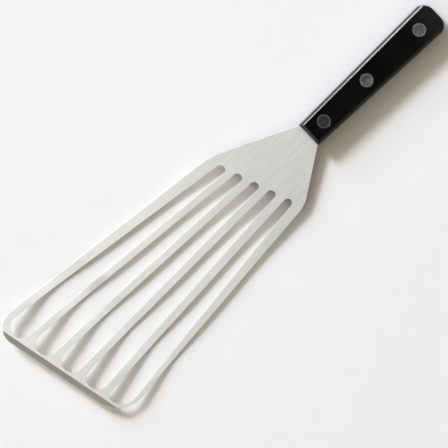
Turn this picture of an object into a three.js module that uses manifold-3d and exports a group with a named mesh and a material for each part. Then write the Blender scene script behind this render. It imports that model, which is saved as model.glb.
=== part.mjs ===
import * as THREE from 'three';
import { mergeVertices } from 'three/addons/utils/BufferGeometryUtils.js';
import Module from 'manifold-3d';

// Slotted turner: one stamped sheet is both blade and full tang, held between two riveted handle scales.
// Millimetres. +X runs from the butt of the handle to the front edge, and +Z is up.
// The tool lies as on a table.

// Handle, measured back from its front end
const handleLength = 93;
const handleThickness = 14;
const handleFrontWidth = 15;
const handleButtWidth = 19.2;
const buttCornerRadius = 6.5;
const handleEdgeWidth = 2.3;
const handleEdgeHeight = 3.7;
const buttEdgeRadius = 0.6;

// Plan of the sheet, measured forward from the handle's front end;
// the long side is the -Y side, whose front corner reaches further forward
const sheetThickness = 1.4;
const neckLength = 0.6;
const neckFilletRadius = 3;
const longSideFlareAngle = 24.5;
const shortSideFlareAngle = 34.7;
const bladeReach = 182.7;
const shoulderWidth = 53.5;
const frontWidth = 83.8;
const frontSkewAngle = 12.1;
const longSideShoulderRadius = 50;
const shortSideShoulderRadius = 20;
const longSideTipRadius = 10;
const shortSideTipRadius = 18;

// Slots, fanned between two slanted lines across the blade
const slotCount = 5;
const slotStartDistance = 36.8;
const slotStartSkewAngle = 19.8;
const slotEndMargin = 4.4;
const barStartWidth = 4.45;
const barEndWidth = 3.75;
const barWidthGain = 0.15;
const slotWidthFall = 0.2;
const sideBarStartWidth = 6.1;
const sideBarEndWidth = 3.1;
const slotPatternShift = 0.65;
const lastSlotInnerRadius = 3.7;
const lastSlotOuterRadius = 9;

// Side profile: in front of the handle the sheet slopes down to the level of the slots,
// dips to the belly it rests on, curls up past it, and runs straight to the front edge
const neckEaseLength = 3.5;
const levelDistance = 80.5;
const levelHeight = 1.25;
const levelEaseLength = 20;
const dipEaseLength = 25;
const dipAngle = 3.3;
const bellyDistance = 139.5;
const curlRadius = 58;
const tipAngle = 9;

// Ground front edge
const bevelWidth = 3.1;
const edgeLand = 0.35;

// Two-piece rivets, set back along the handle
const frontRivetSetback = 10.9;
const frontRivetPitch = 31.1;
const rearRivetPitch = 38.3;
const rivetHeadDiameter = 7.3;
const rivetHeadThickness = 2.2;
const rivetHeadChamfer = 0.1;
const barrelDiameter = 4;
const pinDiameter = 2.6;
const rivetEndGap = 0.5;

// Clearances round the rivets
const headClearance = 0.05;
const barrelClearance = 0.1;
const pinClearance = 0.05;

// Facets of round forms, and how far cutters run past what they cut
const arcFacets = 8;
const roundFacets = 32;
const edgeFacets = 6;
const curlFacets = 10;
const sweepFacets = 12;
const cutterMargin = 5;
const mergeDistance = 1e-4;
const largestFilletShare = 0.98;

const { degToRad } = THREE.MathUtils;
const tangBottom = (handleThickness - sheetThickness) / 2;
const tangTop = (handleThickness + sheetThickness) / 2;
const headBottom = handleThickness - rivetHeadThickness;
const frontSlope = Math.tan(degToRad(frontSkewAngle));
const sideSlope = (frontWidth - shoulderWidth) / 2 / (bladeReach - slotStartDistance);

const wasm = await Module();
wasm.setup();

// Solid for cutting, from a closed geometry
function solidOf(geometry) {
  geometry.deleteAttribute('normal');
  geometry.deleteAttribute('uv');
  const merged = mergeVertices(geometry, mergeDistance);
  const corners = merged.index.array;
  const triangles = [];
  for (let i = 0; i < corners.length; i += 3) {
    const [a, b, c] = corners.slice(i, i + 3);
    if (a !== b && b !== c && c !== a) {
      triangles.push(a, b, c);
    }
  }
  const vertProperties = merged.attributes.position.array;
  const triVerts = new Uint32Array(triangles);
  return new wasm.Manifold(new wasm.Mesh({ numProp: 3, vertProperties, triVerts }));
}

function geometryOf(solid) {
  const mesh = solid.getMesh();
  const geometry = new THREE.BufferGeometry();
  geometry.setAttribute('position', new THREE.BufferAttribute(mesh.vertProperties, 3));
  geometry.setIndex(new THREE.BufferAttribute(mesh.triVerts, 1));
  geometry.computeVertexNormals();
  return geometry;
}

function corner(point, radius = 0) {
  return { point, radius };
}

// Closed outline through corners, each rounded by an arc,
// which is made smaller where the edges beside it are too short
function roundedOutline(corners, outline) {
  const neighbour = (list, i) => list[(i + list.length) % list.length];
  const bends = corners.map(({ point, radius }, i) => {
    const back = neighbour(corners, i - 1).point.clone().sub(point);
    const ahead = neighbour(corners, i + 1).point.clone().sub(point);
    const halfAngle = Math.acos(back.dot(ahead) / back.length() / ahead.length()) / 2;
    return { point, radius, back, ahead, halfAngle, setback: radius / Math.tan(halfAngle) };
  });
  for (const [i, { point, radius, back, ahead, halfAngle, setback }] of bends.entries()) {
    if (radius === 0) {
      outline[i === 0 ? 'moveTo' : 'lineTo'](point.x, point.y);
      continue;
    }
    const roomBehind = back.length() / (setback + neighbour(bends, i - 1).setback);
    const roomAhead = ahead.length() / (setback + neighbour(bends, i + 1).setback);
    const share = Math.min(1, largestFilletShare * Math.min(roomBehind, roomAhead));
    const inward = back.clone().normalize().add(ahead.clone().normalize());
    const centre = inward.setLength(radius * share / Math.sin(halfAngle)).add(point);
    const arcStart = back.clone().setLength(setback * share).add(point).sub(centre);
    const arcEnd = ahead.clone().setLength(setback * share).add(point).sub(centre);
    const clockwise = back.cross(ahead) > 0;
    outline.absarc(centre.x, centre.y, radius * share, arcStart.angle(), arcEnd.angle(), clockwise);
  }
  outline.closePath();
  return outline;
}

function circle(x, radius) {
  const path = new THREE.Path();
  path.absarc(x, 0, radius, 0, Math.PI, false);
  path.absarc(x, 0, radius, Math.PI, 2 * Math.PI, false);
  return path;
}

function extrude(outline, depth, bevel = { bevelEnabled: false }) {
  return new THREE.ExtrudeGeometry(outline, { depth, curveSegments: arcFacets, ...bevel });
}

// Body turned about an upright axis at a distance along the handle, from radius and height pairs
function turned(profile, x) {
  const points = profile.map(([radius, height]) => new THREE.Vector2(radius, height));
  return new THREE.LatheGeometry(points, roundFacets).rotateX(Math.PI / 2).translate(x, 0, 0);
}

// Half width of the handle, and of the tang inside it, at a distance along the tool
function handleReach(x) {
  return handleFrontWidth / 2 - (handleButtWidth - handleFrontWidth) / 2 * x / handleLength;
}

// Half width of the blade between its straight tapered sides
function sideReach(x) {
  return shoulderWidth / 2 + sideSlope * (x - slotStartDistance);
}

// Where the flare from the neck meets a side of the blade;
// side is -1 on the long side and 1 on the short side
function shoulderPoint(side, flareAngle) {
  const flareSlope = Math.tan(degToRad(flareAngle));
  const rise = sideReach(neckLength) - handleReach(neckLength);
  const x = neckLength + rise / (flareSlope - sideSlope);
  return new THREE.Vector2(x, side * sideReach(x));
}

// Where a slanted line across the blade meets a side
function crossingPoint(side, distance, slope) {
  const y = side * sideReach(distance) / (1 + side * sideSlope * slope);
  return new THREE.Vector2(distance - y * slope, y);
}

// Both ends of every slot on a slanted line across the blade, from the long side to the short side;
// in that order the bars between the slots widen a little, and the slots narrow
function slotEnds(distance, slope, sideBarWidth, barWidth) {
  const first = crossingPoint(-1, distance, slope).y + sideBarWidth + slotPatternShift;
  const last = crossingPoint(1, distance, slope).y - sideBarWidth + slotPatternShift;
  const slotWidth = (last - first - (slotCount - 1) * barWidth) / slotCount;
  const fromMiddle = (i, count) => i - (count - 1) / 2;
  let near = first;
  return Array.from({ length: slotCount }, (_, i) => {
    const far = near + slotWidth - slotWidthFall * fromMiddle(i, slotCount);
    const ends = [near, far].map((y) => new THREE.Vector2(distance - y * slope, y));
    near = far + barWidth + barWidthGain * fromMiddle(i, slotCount - 1);
    return ends;
  });
}

// Tapered slots with round ends; the last one follows the wide corner of the blade
function slotPaths() {
  const startSlope = Math.tan(degToRad(slotStartSkewAngle));
  const endDistance = bladeReach - slotEndMargin / Math.cos(degToRad(frontSkewAngle));
  const starts = slotEnds(slotStartDistance, startSlope, sideBarStartWidth, barStartWidth);
  const ends = slotEnds(endDistance, frontSlope, sideBarEndWidth, barEndWidth);
  return starts.map(([startNear, startFar], i) => {
    const [endNear, endFar] = ends[i];
    const startRadius = startNear.distanceTo(startFar) / 2;
    const endRadius = endNear.distanceTo(endFar) / 2;
    const last = i === slotCount - 1;
    return roundedOutline([
      corner(startNear, startRadius),
      corner(endNear, last ? lastSlotInnerRadius : endRadius),
      corner(endFar, last ? lastSlotOuterRadius : endRadius),
      corner(startFar, startRadius),
    ], new THREE.Path());
  });
}

function rivetDistances() {
  const front = -frontRivetSetback;
  const middle = front - frontRivetPitch;
  return { front, middle, rear: middle - rearRivetPitch };
}

// Plan of blade and tang, with the slots and the rivet holes
function sheetOutline() {
  const neck = handleReach(neckLength);
  const butt = handleReach(-handleLength);
  const outline = roundedOutline([
    corner(new THREE.Vector2(-handleLength, -butt), buttCornerRadius),
    corner(new THREE.Vector2(neckLength, -neck), neckFilletRadius),
    corner(shoulderPoint(-1, longSideFlareAngle), longSideShoulderRadius),
    corner(crossingPoint(-1, bladeReach, frontSlope), longSideTipRadius),
    corner(crossingPoint(1, bladeReach, frontSlope), shortSideTipRadius),
    corner(shoulderPoint(1, shortSideFlareAngle), shortSideShoulderRadius),
    corner(new THREE.Vector2(neckLength, neck), neckFilletRadius),
    corner(new THREE.Vector2(-handleLength, butt), buttCornerRadius),
  ], new THREE.Shape());
  const holes = Object.values(rivetDistances()).map((x) => circle(x, barrelDiameter / 2 + barrelClearance));
  outline.holes.push(...slotPaths(), ...holes);
  return outline;
}

// Side profile of the bent sheet on the tool's centre line, with the bevel ground into its upper face
function sheetProfile() {
  const dip = degToRad(dipAngle);
  const tip = degToRad(tipAngle);
  const upperRadius = curlRadius - sheetThickness;
  const curlPoint = (turn, radius) => {
    return new THREE.Vector2(bellyDistance + radius * Math.sin(turn), curlRadius - radius * Math.cos(turn));
  };
  const tipPoint = (x, radius) => {
    const curlEnd = curlPoint(tip, radius);
    return new THREE.Vector2(x, curlEnd.y + (x - curlEnd.x) * Math.tan(tip));
  };
  const bendStart = neckLength + handleFrontWidth / 2 * frontSlope;
  const levelPoint = new THREE.Vector2(levelDistance, levelHeight);
  const curlStart = curlPoint(-dip, curlRadius);
  const slopeCurve = new THREE.CubicBezierCurve(
    new THREE.Vector2(bendStart, tangBottom),
    new THREE.Vector2(bendStart + neckEaseLength, tangBottom),
    new THREE.Vector2(levelDistance - levelEaseLength, levelHeight),
    levelPoint,
  );
  const dipCurve = new THREE.CubicBezierCurve(
    levelPoint,
    new THREE.Vector2(levelDistance + dipEaseLength, levelHeight),
    new THREE.Vector2(curlStart.x - dipEaseLength, curlStart.y + dipEaseLength * Math.tan(dip)),
    curlStart,
  );

  // The bevel runs from the full sheet to the land on the edge, and a little into the waste beyond it
  const bevelRun = bevelWidth / Math.cos(degToRad(frontSkewAngle));
  const waste = bevelRun * edgeLand / 2 / (sheetThickness - edgeLand);
  const bevelStart = tipPoint(bladeReach - bevelRun, upperRadius);
  const landTop = tipPoint(bladeReach, curlRadius);
  landTop.y += edgeLand;
  const bevelEnd = bevelStart.clone().lerp(landTop, 1 + waste / bevelRun);

  const lower = [new THREE.Vector2(-handleLength - cutterMargin, tangBottom)];
  const upper = [new THREE.Vector2(-handleLength - cutterMargin, tangTop)];
  for (const curve of [slopeCurve, dipCurve]) {
    for (let i = 0; i < sweepFacets; i += 1) {
      const point = curve.getPoint(i / sweepFacets);
      const tangent = curve.getTangent(i / sweepFacets);
      lower.push(point);
      upper.push(new THREE.Vector2(-tangent.y, tangent.x).multiplyScalar(sheetThickness).add(point));
    }
  }
  for (let i = 0; i <= curlFacets; i += 1) {
    const turn = -dip + (tip + dip) * i / curlFacets;
    lower.push(curlPoint(turn, curlRadius));
    upper.push(curlPoint(turn, upperRadius));
  }
  lower.push(tipPoint(bladeReach + waste, curlRadius));
  upper.push(bevelStart);
  return new THREE.Shape([...lower, bevelEnd, ...upper.reverse()]);
}

// Bent sheet, whose bend lines run parallel to the slanted front edge, trimmed to its plan
function bladeGeometry() {
  const stockWidth = frontWidth + 2 * cutterMargin;
  const acrossBends = new THREE.Matrix4().makeBasis(
    new THREE.Vector3(1, 0, 0),
    new THREE.Vector3(0, 0, 1),
    new THREE.Vector3(frontSlope, -1, 0),
  );
  const stock = extrude(sheetProfile(), stockWidth).translate(0, 0, -stockWidth / 2);
  stock.applyMatrix4(acrossBends);
  const plan = extrude(sheetOutline(), stockWidth).translate(0, 0, -cutterMargin);
  return geometryOf(solidOf(stock).intersect(solidOf(plan)));
}

// Slab as thick as the handle, from its front end back to a distance,
// with its upper and lower edges rolled over
function handleSlab(length, cornerRadius, edgeWidth, edgeHeight) {
  const outline = roundedOutline([
    corner(new THREE.Vector2(0, -handleReach(0))),
    corner(new THREE.Vector2(0, handleReach(0))),
    corner(new THREE.Vector2(-length, handleReach(-length)), cornerRadius),
    corner(new THREE.Vector2(-length, -handleReach(-length)), cornerRadius),
  ], new THREE.Shape());
  const rolledEdge = {
    bevelThickness: edgeHeight,
    bevelSize: edgeWidth,
    bevelOffset: -edgeWidth,
    bevelSegments: edgeFacets,
  };
  const slab = extrude(outline, handleThickness - 2 * edgeHeight, rolledEdge);
  return solidOf(slab.translate(0, 0, edgeHeight));
}

// Handle blank, before it is split round the tang and drilled for the rivets:
// its long sides and front end are rolled over broadly, and the edges of its butt are only eased
function handleBlank() {
  const rolled = handleSlab(handleLength + handleButtWidth, 0, handleEdgeWidth, handleEdgeHeight);
  return rolled.intersect(handleSlab(handleLength, buttCornerRadius, buttEdgeRadius, buttEdgeRadius));
}

// One scale: the blank's part between two heights, drilled and counterbored for the rivets
function scaleGeometry(wasteBottom, wasteTop, drillProfile) {
  const wasteLength = handleLength + 2 * cutterMargin;
  const wasteWidth = handleButtWidth + 2 * cutterMargin;
  const waste = new THREE.BoxGeometry(wasteLength, wasteWidth, wasteTop - wasteBottom);
  waste.translate(-handleLength / 2, 0, (wasteBottom + wasteTop) / 2);
  let scale = handleBlank().subtract(solidOf(waste));
  for (const x of Object.values(rivetDistances())) {
    scale = scale.subtract(solidOf(turned(drillProfile, x)));
  }
  return geometryOf(scale);
}

const headHoleRadius = rivetHeadDiameter / 2 + headClearance;
const barrelHoleRadius = barrelDiameter / 2 + barrelClearance;
const drillMiddle = handleThickness / 2;

function topScaleGeometry() {
  return scaleGeometry(-cutterMargin, tangTop, [
    [0, drillMiddle],
    [barrelHoleRadius, drillMiddle],
    [barrelHoleRadius, headBottom],
    [headHoleRadius, headBottom],
    [headHoleRadius, handleThickness + cutterMargin],
    [0, handleThickness + cutterMargin],
  ]);
}

function bottomScaleGeometry() {
  return scaleGeometry(tangBottom, handleThickness + cutterMargin, [
    [0, -cutterMargin],
    [headHoleRadius, -cutterMargin],
    [headHoleRadius, rivetHeadThickness],
    [barrelHoleRadius, rivetHeadThickness],
    [barrelHoleRadius, drillMiddle],
    [0, drillMiddle],
  ]);
}

// Upper rivet half: a head with a hollow barrel that reaches down through the tang
function socketGeometry(x) {
  const boreRadius = pinDiameter / 2 + pinClearance;
  const barrelEnd = rivetHeadThickness + rivetEndGap;
  return turned([
    [0, headBottom],
    [boreRadius, headBottom],
    [boreRadius, barrelEnd],
    [barrelDiameter / 2, barrelEnd],
    [barrelDiameter / 2, headBottom],
    [rivetHeadDiameter / 2, headBottom],
    [rivetHeadDiameter / 2, handleThickness - rivetHeadChamfer],
    [rivetHeadDiameter / 2 - rivetHeadChamfer, handleThickness],
    [0, handleThickness],
  ], x);
}

// Lower rivet half: a head with a solid pin that is driven up into the barrel
function pinGeometry(x) {
  return turned([
    [0, 0],
    [rivetHeadDiameter / 2 - rivetHeadChamfer, 0],
    [rivetHeadDiameter / 2, rivetHeadChamfer],
    [rivetHeadDiameter / 2, rivetHeadThickness],
    [pinDiameter / 2, rivetHeadThickness],
    [pinDiameter / 2, headBottom - rivetEndGap],
    [0, headBottom - rivetEndGap],
  ], x);
}

const finishes = {
  steel: { color: 0xcccbc6, roughness: 0.38, metalness: 1 },
  plastic: { color: 0x131314, roughness: 0.35, metalness: 0 },
  rivet: { color: 0x8d8e8e, roughness: 0.4, metalness: 1 },
};

const turner = new THREE.Group();

function addPiece(name, geometry, finish) {
  const piece = new THREE.Mesh(geometry, new THREE.MeshStandardMaterial(finish));
  piece.name = name;
  turner.add(piece);
}

addPiece('blade', bladeGeometry(), finishes.steel);
addPiece('scale_top', topScaleGeometry(), finishes.plastic);
addPiece('scale_bottom', bottomScaleGeometry(), finishes.plastic);
for (const [place, x] of Object.entries(rivetDistances())) {
  addPiece(`rivet_${place}_socket`, socketGeometry(x), finishes.rivet);
  addPiece(`rivet_${place}_pin`, pinGeometry(x), finishes.rivet);
}

// The origin is the middle of the tool's footprint, on the surface it lies on
const extent = new THREE.Box3().setFromObject(turner);
const middle = extent.getCenter(new THREE.Vector3());
turner.position.set(-middle.x, -middle.y, -extent.min.z);

export default turner;
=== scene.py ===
import math

import bmesh
import bpy
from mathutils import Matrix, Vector


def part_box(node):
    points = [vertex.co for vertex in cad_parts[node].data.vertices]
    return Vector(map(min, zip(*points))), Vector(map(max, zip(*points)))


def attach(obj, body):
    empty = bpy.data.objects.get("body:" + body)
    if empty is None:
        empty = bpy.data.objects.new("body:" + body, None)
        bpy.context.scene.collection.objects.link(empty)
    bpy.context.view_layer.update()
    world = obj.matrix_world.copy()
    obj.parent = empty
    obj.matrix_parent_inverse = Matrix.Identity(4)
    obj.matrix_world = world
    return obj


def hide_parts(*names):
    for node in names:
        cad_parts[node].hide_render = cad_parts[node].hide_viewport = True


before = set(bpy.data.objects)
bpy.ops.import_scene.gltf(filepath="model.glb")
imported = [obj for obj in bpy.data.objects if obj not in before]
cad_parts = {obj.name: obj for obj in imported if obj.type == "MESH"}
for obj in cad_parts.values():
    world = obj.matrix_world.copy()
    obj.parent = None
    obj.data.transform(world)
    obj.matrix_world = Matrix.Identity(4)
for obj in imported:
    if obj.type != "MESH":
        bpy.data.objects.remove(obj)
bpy.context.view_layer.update()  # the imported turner, lying on z = 0 with its front edge towards +X, in metres
scene = bpy.context.scene
scene.view_settings.view_transform = "Standard"
print("frame loaded:", len(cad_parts), "nodes")


# Node helpers

def addNode(tree, kind, inputs=None, **settings):  # an input is another node's output or a plain value
    node = tree.nodes.new(kind)
    for name, value in settings.items():
        setattr(node, name, value)
    for name, value in (inputs or {}).items():
        if isinstance(value, bpy.types.NodeSocket):
            tree.links.new(value, node.inputs[name])
        else:
            node.inputs[name].default_value = value
    return node


def addMath(tree, operation, first, second=0.0):
    return addNode(tree, "ShaderNodeMath", {0: first, 1: second}, operation=operation).outputs[0]


def addVectorMath(tree, operation, first, second=(0.0, 0.0, 0.0), result="Vector"):
    node = addNode(tree, "ShaderNodeVectorMath", {0: first, 1: second}, operation=operation)
    return node.outputs[result]


def addRange(tree, value, fromMin, fromMax, toMin, toMax, kind="SMOOTHSTEP"):
    inputs = {"Value": value, "From Min": fromMin, "From Max": fromMax, "To Min": toMin, "To Max": toMax}
    return addNode(tree, "ShaderNodeMapRange", inputs, interpolation_type=kind).outputs["Result"]


def addMix(tree, share, first, second):  # a mix of two colours
    return addNode(tree, "ShaderNodeMix", {0: share, 6: first, 7: second}, data_type="RGBA").outputs[2]


def addNoise(tree, vector, scale, detail, roughness=0.5):
    inputs = {"Vector": vector, "Scale": scale, "Detail": detail, "Roughness": roughness}
    return addNode(tree, "ShaderNodeTexNoise", inputs).outputs[0]


def addBump(tree, height, depth):
    return addNode(tree, "ShaderNodeBump", {"Height": height, "Distance": depth, "Strength": 1.0}).outputs[0]


def addTurn(tree, vector, angle):  # a turn about Z
    return addNode(tree, "ShaderNodeMapping", {"Vector": vector, "Rotation": (0.0, 0.0, angle)}).outputs[0]


def splitAxes(tree, vector):
    return addNode(tree, "ShaderNodeSeparateXYZ", {0: vector}).outputs


def addFacing(tree):  # 1 where a surface faces up, 0 where it stands upright, -1 where it faces down
    return splitAxes(tree, addNode(tree, "ShaderNodeTexCoord").outputs["Normal"])["Z"]


def grey(level, tint=(1.0, 1.0, 1.0)):
    return (level * tint[0], level * tint[1], level * tint[2], 1.0)


def startGroup(name, inputs, outputs):
    group = bpy.data.node_groups.new(name, "ShaderNodeTree")
    for label, kind in inputs.items():
        group.interface.new_socket(label, in_out="INPUT", socket_type=kind)
    for label, kind in outputs.items():
        group.interface.new_socket(label, in_out="OUTPUT", socket_type=kind)
    return group, group.nodes.new("NodeGroupInput").outputs, group.nodes.new("NodeGroupOutput").inputs


def addGroup(tree, group, inputs):
    return addNode(tree, "ShaderNodeGroup", inputs, node_tree=group).outputs


def startMaterial(name, uniform):
    material = bpy.data.materials.new(name)
    material.use_nodes = True
    tree = material.node_tree
    shader = tree.nodes["Principled BSDF"]
    for label, value in uniform.items():
        shader.inputs[label].default_value = value
    position = addNode(tree, "ShaderNodeTexCoord").outputs["Object"]
    return material, tree, shader.inputs, position


# Shared surface effects

strokeSettings = {
    "fineDetail": 4.0,
    "fineRoughness": 0.65,
    "fineRange": (0.25, 0.75),
    "broadening": 0.12,  # the broad strokes are this share as dense
    "broadDetail": 2.0,
    "broadRange": (0.3, 0.7),
}


def makeStrokeGrain():  # fine strokes of a belt or brush, laid along X
    strokes = strokeSettings
    group, given, result = startGroup(
        "strokeGrain",
        {"Vector": "NodeSocketVector", "Stroke Length": "NodeSocketFloat", "Stroke Width": "NodeSocketFloat"},
        {"Fine": "NodeSocketFloat", "Broad": "NodeSocketFloat"},
    )
    parts = splitAxes(group, given["Vector"])
    along = addMath(group, "DIVIDE", parts["X"], given["Stroke Length"])
    across = addMath(group, "DIVIDE", parts["Y"], given["Stroke Width"])
    up = addMath(group, "DIVIDE", parts["Z"], given["Stroke Width"])
    fineSpot = addNode(group, "ShaderNodeCombineXYZ", {"X": along, "Y": across, "Z": up}).outputs[0]
    fine = addNoise(group, fineSpot, 1.0, strokes["fineDetail"], strokes["fineRoughness"])
    broadAcross = addMath(group, "MULTIPLY", across, strokes["broadening"])
    broadSpot = addNode(group, "ShaderNodeCombineXYZ", {"X": along, "Y": broadAcross, "Z": 0.0}).outputs[0]
    broad = addNoise(group, broadSpot, 1.0, strokes["broadDetail"])
    group.links.new(addRange(group, fine, *strokes["fineRange"], 0.0, 1.0, "LINEAR"), result["Fine"])
    group.links.new(addRange(group, broad, *strokes["broadRange"], 0.0, 1.0), result["Broad"])
    return group


handlingSettings = {
    "smudgeDetail": 3.0,
    "smudgeRange": (0.35, 0.68),
    "scuffAngles": (24, -52, 77),  # three stray directions, in degrees
    "scuffThinness": 34.0,
    "scuffDetail": 1.0,
    "scuffRange": (0.7, 0.76),
}


def makeHandling():  # soft smudges and thin scuffs left by use
    wear = handlingSettings
    group, given, result = startGroup(
        "handling",
        {"Vector": "NodeSocketVector", "Smudge Size": "NodeSocketFloat", "Scuff Length": "NodeSocketFloat"},
        {"Smudge": "NodeSocketFloat", "Scuff": "NodeSocketFloat"},
    )
    smudgeScale = addMath(group, "DIVIDE", 1.0, given["Smudge Size"])
    smudge = addNoise(group, given["Vector"], smudgeScale, wear["smudgeDetail"])
    scuffScale = addMath(group, "DIVIDE", 1.0, given["Scuff Length"])
    thinness = (1.0, wear["scuffThinness"], wear["scuffThinness"])
    scuffs = []
    for angle in wear["scuffAngles"]:
        turned = addTurn(group, given["Vector"], math.radians(angle))
        thin = addNode(group, "ShaderNodeMapping", {"Vector": turned, "Scale": thinness}).outputs[0]
        lines = addNoise(group, thin, scuffScale, wear["scuffDetail"])
        scuffs.append(addRange(group, lines, *wear["scuffRange"], 0.0, 1.0))
    both = addMath(group, "MAXIMUM", scuffs[0], scuffs[1])
    group.links.new(addRange(group, smudge, *wear["smudgeRange"], 0.0, 1.0), result["Smudge"])
    group.links.new(addMath(group, "MAXIMUM", both, scuffs[2]), result["Scuff"])
    return group


strokeGrain = makeStrokeGrain()
handling = makeHandling()
print("surface effects made")


def addGrain(tree, vector, finish):
    return addGroup(tree, strokeGrain, {
        "Vector": vector,
        "Stroke Length": finish["strokeLength"],
        "Stroke Width": finish["strokeWidth"],
    })


def addMarks(tree, vector, finish):
    return addGroup(tree, handling, {
        "Vector": vector,
        "Smudge Size": finish["smudgeSize"],
        "Scuff Length": finish["scuffLength"],
    })


# Steel of the blade

satinFinish = {
    "dark": grey(0.645, (0.99, 1.0, 0.985)),
    "light": grey(1.0, (0.99, 1.0, 0.985)),
    "fineShare": 0.26,  # how far each of these lightens the steel
    "broadShare": 0.14,
    "sideShare": 0.36,
    "reflectionShare": 0.3,
    "sideReach": 0.035,  # the steel is painted lighter towards the long side, where the key lamp stands: painted light
    "reflectionReach": (-0.03, 0.06),  # and painted lighter away from the handle, a painted reflection
    "smudged": grey(0.82, (0.99, 1.0, 0.975)),
    "smudgeShare": 0.3,
    "smudgeSize": 0.022,
    "scuffLength": 0.011,
    "scuffDepth": 0.6,  # as a share of the grain's
    # The underside is painted darker by the handle, a painted shade that deepens the shadow on the table under
    # the neck, and its warm tint warms the shadows seen through the slots.
    "underside": (  # by the handle, and under the slots
        grey(0.45, (1.0, 0.94, 0.84)),
        grey(0.9, (1.0, 0.94, 0.84)),
    ),
    "undersideReach": (-0.012, 0.014),
    "undersideFacing": (-0.3, -0.6),
    "darkPatchCentre": (0.0865, -0.018, 0.0),  # a soft painted dark reflection on the belly of the second bar, where the bend begins
    "darkPatchRadii": (0.0095, 0.021),
    "darkPatchShare": 0.6,
    "strokeLength": 0.016,
    "strokeWidth": 0.00028,
    "roughness": (0.64, 0.72),
    "grainDepth": 0.000004,
}


def makeSatinSteel():
    finish = satinFinish
    material, tree, surface, position = startMaterial("satinSteel", {"Metallic": 1.0})
    grain = addGrain(tree, position, finish)
    marks = addMarks(tree, position, finish)
    place = splitAxes(tree, position)
    sideReach = finish["sideReach"]
    # painted light: the steel is lighter towards the key lamp's side
    side = addRange(tree, place["Y"], -sideReach, sideReach, finish["sideShare"], 0.0, "LINEAR")
    # painted reflection: the steel is lighter away from the handle
    paintedReflection = addRange(tree, place["X"], *finish["reflectionReach"], 0.0, 1.0)
    fine = addMath(tree, "MULTIPLY", grain["Fine"], finish["fineShare"])
    broad = addMath(tree, "MULTIPLY", grain["Broad"], finish["broadShare"])
    strokes = addMath(tree, "ADD", addMath(tree, "ADD", fine, broad), side)
    shade = addMath(tree, "ADD", strokes, addMath(tree, "MULTIPLY", paintedReflection, finish["reflectionShare"]))
    steel = addMix(tree, shade, finish["dark"], finish["light"])
    smudge = addMath(tree, "MULTIPLY", marks["Smudge"], finish["smudgeShare"])
    hazed = addMix(tree, smudge, steel, finish["smudged"])
    # painted reflection: a soft dark patch on the belly of the second bar
    fromSpot = addVectorMath(tree, "SUBTRACT", position, finish["darkPatchCentre"])
    spread = (1 / finish["darkPatchRadii"][0], 1 / finish["darkPatchRadii"][1], 0.0)
    inSpot = addVectorMath(tree, "MULTIPLY", fromSpot, spread)
    spotDistance = addVectorMath(tree, "LENGTH", inSpot, result="Value")
    paintedDarkPatch = addRange(tree, spotDistance, 0.0, 1.0, finish["darkPatchShare"], 0.0)
    above = addMix(tree, paintedDarkPatch, hazed, finish["dark"])
    # painted shade: the underside is darker by the handle and tinted warm
    underSlots = addRange(tree, place["X"], *finish["undersideReach"], 0.0, 1.0)
    below = addMix(tree, underSlots, *finish["underside"])
    facingDown = addRange(tree, addFacing(tree), *finish["undersideFacing"], 0.0, 1.0)
    smoothest, roughest = finish["roughness"]
    rough = addRange(tree, shade, 0.0, 1.0, roughest, smoothest, "LINEAR")
    scuff = addMath(tree, "MULTIPLY", marks["Scuff"], finish["scuffDepth"])
    height = addMath(tree, "SUBTRACT", grain["Fine"], scuff)
    tree.links.new(addMix(tree, facingDown, above, below), surface["Base Color"])
    tree.links.new(rough, surface["Roughness"])
    tree.links.new(addBump(tree, height, finish["grainDepth"]), surface["Normal"])
    return material


edgeFinish = {
    "dark": grey(0.24),
    "light": grey(0.32),
    "roughness": (0.6, 0.72),
    "smudgeSize": 0.004,
    "scuffLength": 0.003,
    "smooth": grey(1.0),  # the walls are smoother round the inner ends of the slots
    "smoothReach": (0.03, 0.012),
    "smoothSkew": math.radians(19.8),
    "smoothSide": (-0.0255, -0.0225),  # and not on the outer edge beside them
    "smoothRoughness": 0.1,
}


def makeEdgeSteel():  # the cut walls of the sheet, painted dark: a painted shade that damps their highlights and the light they throw onto the table
    finish = edgeFinish
    material, tree, surface, position = startMaterial("edgeSteel", {"Metallic": 1.0})
    marks = addMarks(tree, position, finish)
    place = splitAxes(tree, position)
    skewed = addMath(tree, "MULTIPLY", place["Y"], math.tan(finish["smoothSkew"]))
    ahead = addMath(tree, "ADD", place["X"], skewed)
    inSlots = addRange(tree, place["Y"], *finish["smoothSide"], 0.0, 1.0)
    smooth = addMath(tree, "MULTIPLY", inSlots, addRange(tree, ahead, *finish["smoothReach"], 0.0, 1.0))
    # painted shade: the cut walls are dark grey away from the inner ends of the slots
    cut = addMix(tree, marks["Smudge"], finish["light"], finish["dark"])
    cutRough = addRange(tree, marks["Smudge"], 0.0, 1.0, *finish["roughness"], "LINEAR")
    rough = addRange(tree, smooth, 0.0, 1.0, cutRough, finish["smoothRoughness"], "LINEAR")
    tree.links.new(addMix(tree, smooth, cut, finish["smooth"]), surface["Base Color"])
    tree.links.new(rough, surface["Roughness"])
    return material


groundShadedFinish = {
    "dark": grey(0.52, (1.0, 0.995, 0.955)),
    "light": grey(0.63, (1.0, 0.995, 0.965)),
    "strokeLength": 0.006,
    "strokeWidth": 0.0002,
    "roughness": (0.38, 0.46),
    "grainDepth": 0.0000015,
}


def makeGroundShadedSteel(skew):  # the bevel, ground across the front edge; its steel is darker than the satin, partly its ground finish and partly painted shade, as the bevel faces away from the lamps
    finish = groundShadedFinish
    material, tree, surface, position = startMaterial("groundShadedSteel", {"Metallic": 1.0})
    grain = addGrain(tree, addTurn(tree, position, -skew), finish)
    rough = addRange(tree, grain["Broad"], 0.0, 1.0, *finish["roughness"], "LINEAR")
    tree.links.new(addMix(tree, grain["Fine"], finish["dark"], finish["light"]), surface["Base Color"])
    tree.links.new(rough, surface["Roughness"])
    tree.links.new(addBump(tree, grain["Fine"], finish["grainDepth"]), surface["Normal"])
    return material


# Black plastic of the scales

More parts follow.
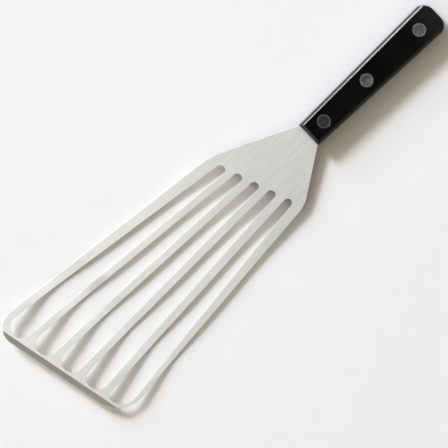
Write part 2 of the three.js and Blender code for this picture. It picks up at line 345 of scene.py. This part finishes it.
plasticFinish = {
    "black": grey(0.0012),
    "hazed": grey(0.0028),
    "smudgeSize": 0.03,
    "scuffLength": 0.007,
    "scuffDepth": 0.8,  # as a share of the pores'
    "wearAndSheen": grey(0.013),
    "sheenReach": (-0.12, -0.14),  # the plastic is painted paler towards the butt, a painted reflection
    "edgeFacing": (0.985, 0.9),  # where the rolled edge leaves the flat
    "wallFacing": (0.02, 0.25),  # and where it turns into the upright wall
    "rubbed": grey(0.025),  # the rolled edge is rubbed pale
    "rubbedShare": (0.75, 1.0),  # in the pores, and between them
    "poreScale": 2600.0,
    "poreDetail": 2.0,
    "poreRange": (0.3, 0.7),
    "gloss": (0.5, 0.1),  # on the whole, and lowered along the edge on the side away from the lamps, a painted shade
    "shadedReach": (0.003, 0.006),
    "creaseGloss": 0.35,  # more where the edge turns into the flat
    "creaseFacing": (0.7, 0.84),
    "roughness": (0.1, 0.15),
    "rubbedRoughness": 0.16,
    "refraction": 1.58,
    "grainDepth": 0.000004,
}


def makeHandlePlastic():
    finish = plasticFinish
    material, tree, surface, position = startMaterial("handlePlastic", {"IOR": finish["refraction"]})
    upright = addMath(tree, "ABSOLUTE", addFacing(tree))
    onEdge = addRange(tree, upright, *finish["edgeFacing"], 0.0, 1.0)
    offWall = addRange(tree, upright, *finish["wallFacing"], 0.0, 1.0)
    marks = addMarks(tree, position, finish)
    pores = addNoise(tree, position, finish["poreScale"], finish["poreDetail"])
    patchy = addRange(tree, pores, *finish["poreRange"], *finish["rubbedShare"])
    rubbed = addMath(tree, "MULTIPLY", addMath(tree, "MULTIPLY", onEdge, offWall), patchy)
    place = splitAxes(tree, position)
    towardsButt = addRange(tree, place["X"], *finish["sheenReach"], 0.0, 1.0)
    # painted shade: less gloss along the edge on the side away from the lamps
    shaded = addMath(tree, "MULTIPLY", onEdge, addRange(tree, place["Y"], *finish["shadedReach"], 0.0, 1.0))
    crease = addRange(tree, upright, *finish["creaseFacing"], 0.0, finish["creaseGloss"])
    onCrease = addMath(tree, "MULTIPLY", onEdge, crease)
    gloss = addMath(tree, "ADD", addRange(tree, shaded, 0.0, 1.0, *finish["gloss"], "LINEAR"), onCrease)
    black = addMix(tree, marks["Smudge"], finish["black"], finish["hazed"])
    # painted reflection: the black is paler towards the butt
    hazed = addMix(tree, towardsButt, black, finish["wearAndSheen"])
    rough = addRange(tree, marks["Smudge"], 0.0, 1.0, *finish["roughness"], "LINEAR")
    wearAndSheen = addMath(tree, "MULTIPLY", rubbed, finish["rubbedRoughness"] - finish["roughness"][1])
    scuff = addMath(tree, "MULTIPLY", marks["Scuff"], finish["scuffDepth"])
    height = addMath(tree, "SUBTRACT", pores, scuff)
    tree.links.new(addMix(tree, rubbed, hazed, finish["rubbed"]), surface["Base Color"])
    tree.links.new(addMath(tree, "ADD", rough, wearAndSheen), surface["Roughness"])
    tree.links.new(gloss, surface["Specular IOR Level"])
    tree.links.new(addBump(tree, height, finish["grainDepth"]), surface["Normal"])
    return material


# Grey metal of the rivets

rivetFinish = {
    "tone": {"front": 0.215, "middle": 0.59, "rear": 0.67},  # each head is painted a tone of its own, a painted reflection of the different light each catches
    "tint": (0.93, 1.0, 1.11),
    "ringPitch": 0.00016,
    "ringDetail": 2.0,
    "ringTones": (0.92, 1.06),  # this and the next tones are shares of the head's own
    "smudgeTone": 0.85,
    "smudgeShare": 0.15,
    "smudgeSize": 0.003,
    "scuffLength": 0.004,
    # The rim ring is painted lighter on the front head, a painted reflection, and darker on the others, a
    # painted shade that damps their glints.
    "rimTone": {"front": 1.12, "middle": 0.68, "rear": 0.61},
    "rimReach": (0.74, 0.9),
    "turnedTone": 0.15,  # where the head turns down into its hole, painted dark: a painted shade that damps glints on the chamfer
    "turnedFacing": (0.99, 0.92),
    "roughness": (0.22, 0.3),
    "rimRoughness": 0.4,
    "grainDepth": 0.000003,
}


def makeRivetMetal(place, centre, radius):
    finish = rivetFinish

    def toned(share):
        return grey(finish["tone"][place] * share, finish["tint"])

    material, tree, surface, position = startMaterial(place + "RivetMetal", {"Metallic": 1.0})
    fromAxis = addVectorMath(tree, "SUBTRACT", position, (centre.x, centre.y, 0.0))
    flat = addVectorMath(tree, "MULTIPLY", fromAxis, (1.0, 1.0, 0.0))
    distance = addVectorMath(tree, "LENGTH", flat, result="Value")
    ringInputs = {
        "W": addMath(tree, "DIVIDE", distance, finish["ringPitch"]),
        "Scale": 1.0,
        "Detail": finish["ringDetail"],
    }
    rings = addNode(tree, "ShaderNodeTexNoise", ringInputs, noise_dimensions="1D").outputs[0]
    marks = addMarks(tree, position, finish)
    rimStart, rimFull = finish["rimReach"]
    rim = addRange(tree, distance, radius * rimStart, radius * rimFull, 0.0, 1.0)
    upright = addMath(tree, "ABSOLUTE", addFacing(tree))
    turnedDown = addRange(tree, upright, *finish["turnedFacing"], 0.0, 1.0)
    darkRing, lightRing = finish["ringTones"]
    ground = addMix(tree, rings, toned(darkRing), toned(lightRing))
    smudge = addMath(tree, "MULTIPLY", marks["Smudge"], finish["smudgeShare"])
    smudged = addMix(tree, smudge, ground, toned(finish["smudgeTone"]))
    head = addMix(tree, rim, smudged, toned(finish["rimTone"][place]))
    # painted shade on the chamfer where the head turns down
    turned = grey(finish["tone"][place] * finish["turnedTone"])
    headRough = addRange(tree, marks["Smudge"], 0.0, 1.0, *finish["roughness"], "LINEAR")
    rough = addRange(tree, rim, 0.0, 1.0, headRough, finish["rimRoughness"], "LINEAR")
    tree.links.new(addMix(tree, turnedDown, head, turned), surface["Base Color"])
    tree.links.new(rough, surface["Roughness"])
    tree.links.new(addBump(tree, rings, finish["grainDepth"]), surface["Normal"])
    return material


# Pieces, each a refined copy of its solid

sharpAngle = math.radians(35)  # edges that turn by more than this are rounded
weldDistance = 0.000004


def mergedCopy(node, settings):  # one closed mesh whose flat faces are whole
    bm = bmesh.new()
    bm.from_mesh(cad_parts[node].data)
    bmesh.ops.remove_doubles(bm, verts=bm.verts, dist=settings["mergeDistance"])
    bmesh.ops.dissolve_limit(bm, angle_limit=settings["flatAngle"], verts=bm.verts, edges=bm.edges)
    return bm


def setRounding(bm, shareOf):  # each sharp edge gets its own share of the full rounding
    weights = bm.edges.layers.float.new("bevel_weight_edge")
    for edge in bm.edges:
        edge[weights] = shareOf(edge) if edge.calc_face_angle() > sharpAngle else 0.0


def finishPiece(bm, name, node, materials, rounding):
    for face in bm.faces:
        face.smooth = True
    mesh = bpy.data.meshes.new(name)
    bm.to_mesh(mesh)
    bm.free()
    for material in materials:
        mesh.materials.append(material)
    piece = bpy.data.objects.new(name, mesh)
    scene.collection.objects.link(piece)
    bevel = piece.modifiers.new("roundedEdges", "BEVEL")
    bevel.limit_method = "WEIGHT"
    bevel.width = rounding["width"]
    bevel.segments = rounding["segments"]
    bevel.profile = 0.5
    bevel.material = rounding["material"]
    bevel.use_clamp_overlap = False
    weld = piece.modifiers.new("closedSeams", "WELD")
    weld.merge_threshold = weldDistance
    weighted = piece.modifiers.new("evenShading", "WEIGHTED_NORMAL")
    weighted.keep_sharp = True
    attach(piece, "root")
    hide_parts(node)
    print("piece made:", name)


bladeSettings = {
    "mergeDistance": 0.00015,
    "flatAngle": math.radians(0.25),
    "frontSkew": math.radians(12.1),
    "bevelWidth": 0.0031,
    "thickness": 0.0014,
    "edgeLand": 0.00035,
    "flatFacing": 0.5,  # a face whose normal rises or falls less than this is a wall
    "tipReach": (0.103, 0.122),  # where the sheet curls up beyond its solid, measured along the centre line
    "tipCuts": 8,
    "tipLift": 0.001,
    "tipTwist": 0.03,  # more towards the corner of the long side
    "rounding": {"width": 0.00014, "segments": 2, "material": 0},
    "roundingLimit": 0.35,  # as a share of the sheet's thickness
}


def curlTip(bm, settings):
    low, high = settings["tipReach"]
    ahead = Vector((1.0, math.tan(settings["frontSkew"]), 0.0))
    across = ahead.normalized()
    near = settings["mergeDistance"]
    for cut in range(settings["tipCuts"] + 1):
        place = Vector((low + (high - low) * cut / settings["tipCuts"], 0.0, 0.0))
        whole = bm.verts[:] + bm.edges[:] + bm.faces[:]
        bmesh.ops.bisect_plane(bm, geom=whole, dist=near, plane_co=place, plane_no=across)
    for vert in bm.verts:
        share = min(1.0, max(0.0, (vert.co.dot(ahead) - low) / (high - low)))
        eased = share * share * (3 - 2 * share)
        vert.co.z += (settings["tipLift"] - settings["tipTwist"] * vert.co.y) * eased


def makeBlade():
    settings = bladeSettings
    satin, cut, ground = range(3)
    bm = mergedCopy("blade", settings)
    curlTip(bm, settings)
    forward = Vector((math.cos(settings["frontSkew"]), math.sin(settings["frontSkew"]), 0.0))
    frontReach = max(vert.co.dot(forward) for vert in bm.verts)

    def fromFront(point):
        return frontReach - point.dot(forward)

    for face in bm.faces:
        face.material_index = satin
        if abs(face.normal.z) < settings["flatFacing"]:
            face.material_index = cut
        elif face.normal.z > 0 and fromFront(face.calc_center_median()) < settings["bevelWidth"]:
            face.material_index = ground

    def roundingShare(edge):
        middle = (edge.verts[0].co + edge.verts[1].co) / 2
        whole = min(1.0, max(0.0, fromFront(middle) / settings["bevelWidth"]))
        thickness = settings["edgeLand"] + (settings["thickness"] - settings["edgeLand"]) * whole
        return min(1.0, settings["roundingLimit"] * thickness / settings["rounding"]["width"])

    setRounding(bm, roundingShare)
    for edge in bm.edges:
        kinds = {face.material_index for face in edge.link_faces}
        edge.smooth = kinds != {satin, ground}  # the bevel meets the sheet in a crisp line
    materials = [makeSatinSteel(), makeEdgeSteel(), makeGroundShadedSteel(settings["frontSkew"])]
    finishPiece(bm, "turnerBlade", "blade", materials, settings["rounding"])


scaleSettings = {
    "mergeDistance": 0.00001,
    "flatAngle": math.radians(0.05),
    "rounding": {"width": 0.0004, "segments": 3, "material": -1},
    "levelShare": 0.2,  # level edges, as round the holes, are rounded less than upright ones
    "uprightRise": 0.9,
}


def makeScale(node, name, plastic):
    settings = scaleSettings
    bm = mergedCopy(node, settings)

    def roundingShare(edge):
        along = (edge.verts[1].co - edge.verts[0].co).normalized()
        return 1.0 if abs(along.z) > settings["uprightRise"] else settings["levelShare"]

    setRounding(bm, roundingShare)
    finishPiece(bm, name, node, [plastic], settings["rounding"])


rivetSettings = {
    "mergeDistance": 0.00001,
    "flatAngle": math.radians(0.05),
    "rounding": {"width": 0.00004, "segments": 2, "material": -1},
}


def makeRivetHalf(place, half, metal):
    settings = rivetSettings
    node = "rivet_" + place + "_" + half
    bm = mergedCopy(node, settings)
    setRounding(bm, lambda edge: 1.0)
    finishPiece(bm, place + "Rivet" + half.capitalize(), node, [metal], settings["rounding"])


makeBlade()
handlePlastic = makeHandlePlastic()
makeScale("scale_top", "upperScale", handlePlastic)
makeScale("scale_bottom", "lowerScale", handlePlastic)
for rivetPlace in ("front", "middle", "rear"):
    headLow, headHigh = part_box("rivet_" + rivetPlace + "_socket")
    rivetMetal = makeRivetMetal(rivetPlace, (headLow + headHigh) / 2, (headHigh.x - headLow.x) / 2)
    for rivetHalf in ("socket", "pin"):
        makeRivetHalf(rivetPlace, rivetHalf, rivetMetal)


# Studio: a pale table, a soft key lamp with a weaker one below it, and a dim surround

tableSettings = {
    "size": 24.0,
    "level": -0.0002,
    "pale": grey(0.87, (0.997, 1.0, 1.01)),
    "paler": grey(0.89, (0.997, 1.0, 1.01)),
    "cloudScale": 9.0,
    "cloudDetail": 2.0,
    "roughness": 0.7,
    "lightDepth": 0.005,  # light spreads a little under the surface, so narrow shadows are pale
}


def makeTable():
    settings = tableSettings
    bm = bmesh.new()
    bmesh.ops.create_grid(bm, x_segments=1, y_segments=1, size=settings["size"] / 2)
    bmesh.ops.translate(bm, verts=bm.verts, vec=(0.0, 0.0, settings["level"]))
    mesh = bpy.data.meshes.new("table")
    bm.to_mesh(mesh)
    bm.free()
    material, tree, surface, position = startMaterial("tableTop", {
        "Roughness": settings["roughness"],
        "Specular IOR Level": 0.0,
        "Subsurface Weight": 1.0,
        "Subsurface Radius": (1.0, 1.0, 1.0),
        "Subsurface Scale": settings["lightDepth"],
    })
    cloud = addNoise(tree, position, settings["cloudScale"], settings["cloudDetail"])
    tree.links.new(addMix(tree, cloud, settings["pale"], settings["paler"]), surface["Base Color"])
    mesh.materials.append(material)
    table = bpy.data.objects.new("table", mesh)
    scene.collection.objects.link(table)


keySettings = {
    "elevation": math.radians(40.5),
    "azimuth": math.radians(-90),
    "distance": 7.0,
    "spread": math.radians(12.5),
    "power": 440.0,
    "colour": (0.845, 0.903, 1.0),
}

lowSettings = {  # a broader, weaker lamp below the key
    "elevation": math.radians(27),
    "azimuth": math.radians(-90),
    "distance": 7.0,
    "spread": math.radians(22),
    "power": 162.0,
    "colour": (0.845, 0.903, 1.0),
}


def makeLamp(name, settings):
    level = math.cos(settings["elevation"])
    towards = Vector((
        level * math.cos(settings["azimuth"]),
        level * math.sin(settings["azimuth"]),
        math.sin(settings["elevation"]),
    ))
    lamp = bpy.data.lights.new(name, "AREA")
    lamp.shape = "DISK"
    lamp.size = 2 * settings["distance"] * math.tan(settings["spread"] / 2)
    lamp.energy = settings["power"]
    lamp.color = settings["colour"]
    holder = bpy.data.objects.new(name, lamp)
    holder.location = towards * settings["distance"]
    holder.rotation_euler = towards.to_track_quat("Z", "Y").to_euler()
    scene.collection.objects.link(holder)


surroundSettings = {
    "dim": grey(0.044),
    "bright": (0.61, 0.532, 0.408, 1.0),
    "riseHeights": (0.3, 0.7),  # sine of the elevation where the bright band begins and is full
    "overheadHeights": (0.925, 0.98),  # and where it fades into the dim patch overhead
    "lean": (0.2, -0.5, 0.0),  # brighter beyond the front edge and round the key lamp
}


def makeSurround():
    settings = surroundSettings
    world = bpy.data.worlds.new("surround")
    world.use_nodes = True
    tree = world.node_tree
    direction = addNode(tree, "ShaderNodeTexCoord").outputs["Generated"]
    height = splitAxes(tree, direction)["Z"]
    rise = addRange(tree, height, *settings["riseHeights"], 0.0, 1.0)
    fall = addRange(tree, height, *settings["overheadHeights"], 1.0, 0.0)
    band = addMath(tree, "MULTIPLY", rise, fall)
    lean = addVectorMath(tree, "DOT_PRODUCT", direction, settings["lean"], result="Value")
    background = tree.nodes["Background"].inputs
    tree.links.new(addMix(tree, band, settings["dim"], settings["bright"]), background["Color"])
    tree.links.new(addMath(tree, "ADD", lean, 1.0), background["Strength"])
    scene.world = world


makeTable()
makeLamp("keyLamp", keySettings)
makeLamp("lowLamp", lowSettings)
makeSurround()
print("studio made")


# Camera: nearly straight down through a long lens

cameraSettings = {
    "aim": Vector((0.016372, 0.0042, 0.005)),
    "leanX": math.radians(-1.304),
    "leanY": math.radians(-3.0),
    "turn": 0.7636,  # the handle points to the upper right
    "distance": 3.0,
    "pictureWidth": 0.236168,  # at the aim
    "sensorWidth": 36.0,
}


def makeCamera():
    settings = cameraSettings
    back = Vector((math.tan(settings["leanX"]), math.tan(settings["leanY"]), 1.0)).normalized()
    pictureUp = Vector((-math.sin(settings["turn"]), -math.cos(settings["turn"]), 0.0))
    right = pictureUp.cross(back).normalized()
    up = back.cross(right)
    optics = bpy.data.cameras.new("camera")
    optics.sensor_width = settings["sensorWidth"]
    optics.lens = settings["sensorWidth"] * settings["distance"] / settings["pictureWidth"]
    camera = bpy.data.objects.new("camera", optics)
    place = settings["aim"] + back * settings["distance"]
    matrix = camera.matrix_world.copy()
    for row in range(3):
        matrix[row] = (right[row], up[row], back[row], place[row])
    camera.matrix_world = matrix
    scene.collection.objects.link(camera)
    scene.camera = camera


makeCamera()
print("camera placed")
